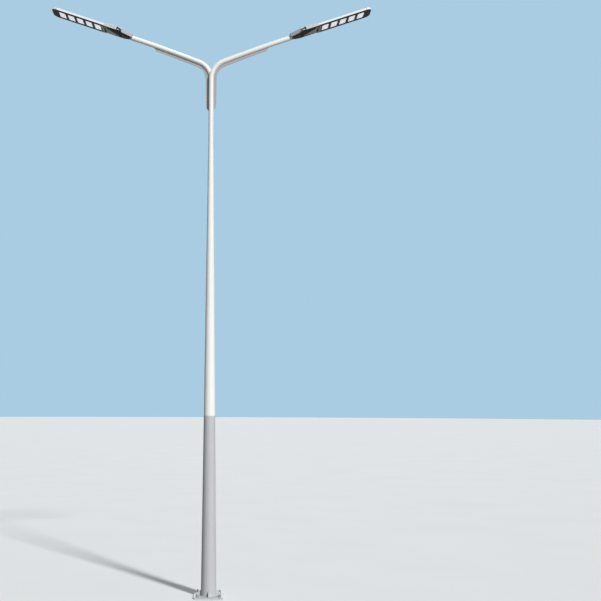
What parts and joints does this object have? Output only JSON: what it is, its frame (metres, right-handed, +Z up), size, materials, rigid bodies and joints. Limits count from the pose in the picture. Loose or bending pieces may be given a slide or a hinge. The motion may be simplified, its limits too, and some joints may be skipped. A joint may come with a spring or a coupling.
{
  "type": "street light pole",
  "caption": "Twin-arm street light: flanged conical steel mast, bent tube arms with stiffener strips, and modular lamp heads with hinged driver lids.",
  "frame": {"origin": "centre of the base flange's bottom face", "axes": "+Z up along the mast, the arms reach along -X and +X, -Y is the near side"},
  "size_m": [4.4882, 0.4, 8.1337],
  "materials": {
    "upper_paint": "white powder coat, satin",
    "lower_paint": "light grey powder coat, satin",
    "strip_paint": "mid grey powder coat, matt",
    "head_paint": "powder-coated die casting",
    "neck_paint": "grey powder-coated die casting",
    "black_paint": "black powder coat, matt",
    "lid_paint": "dark grey powder coat, matt",
    "heat_sink": "extruded aluminium, plain",
    "lens": "moulded polycarbonate optics over white LED boards",
    "driver_case": "plain extruded case",
    "latch_plastic": "moulded black nylon"
  },
  "bodies": {
    "root": {"base_flange": "lower_paint", "right_gusset": "lower_paint", "back_gusset": "lower_paint", "left_gusset": "lower_paint", "front_gusset": "lower_paint", "mast_lower_length": "lower_paint", "access_door": "lower_paint", "access_door_frame": "lower_paint", "mast_upper_length": "upper_paint", "right_arm_tube": "upper_paint", "left_arm_tube": "upper_paint", "right_stiffener": "strip_paint", "left_stiffener": "strip_paint", "right_neck": "neck_paint", "right_neck_cover": "black_paint", "right_driver_box": "head_paint", "right_led_driver": "driver_case", "right_light_frame": "head_paint", "right_lens_plates": "lens", "right_lens_tray": "black_paint", "right_front_cap": "head_paint", "right_light_module_1": "heat_sink", "right_light_module_2": "heat_sink", "right_light_module_3": "heat_sink", "right_light_module_4": "heat_sink", "right_light_module_5": "heat_sink", "left_neck": "neck_paint", "left_neck_cover": "black_paint", "left_driver_box": "head_paint", "left_led_driver": "driver_case", "left_light_frame": "head_paint", "left_lens_plates": "lens", "left_lens_tray": "black_paint", "left_front_cap": "head_paint", "left_light_module_1": "heat_sink", "left_light_module_2": "heat_sink", "left_light_module_3": "heat_sink", "left_light_module_4": "heat_sink", "left_light_module_5": "heat_sink"},
    "right_lid": {"right_driver_lid": "lid_paint"},
    "right_latch": {"right_latch": "latch_plastic"},
    "left_lid": {"left_driver_lid": "lid_paint"},
    "left_latch": {"left_latch": "latch_plastic"}
  },
  "joints": [
    {"name": "right_lid_hinge", "type": "hinge", "parent": "root", "child": "right_lid", "pos_m": [1.50034, 0, 7.84934], "axis": [0, -1, 0], "range_deg": [0, 80]},
    {"name": "right_latch_pivot", "type": "hinge", "parent": "right_lid", "child": "right_latch", "pos_m": [1.30247, -0.161, 7.77259], "axis": [0.9483, 0, 0.3173], "range_deg": [0, 100]},
    {"name": "left_lid_hinge", "type": "hinge", "parent": "root", "child": "left_lid", "pos_m": [-1.50034, 0.034, 7.84934], "axis": [0, 1, 0], "range_deg": [0, 80]},
    {"name": "left_latch_pivot", "type": "hinge", "parent": "left_lid", "child": "left_latch", "pos_m": [-1.30247, -0.127, 7.77259], "axis": [0.9483, 0, -0.3173], "range_deg": [0, 100]}
  ]
}
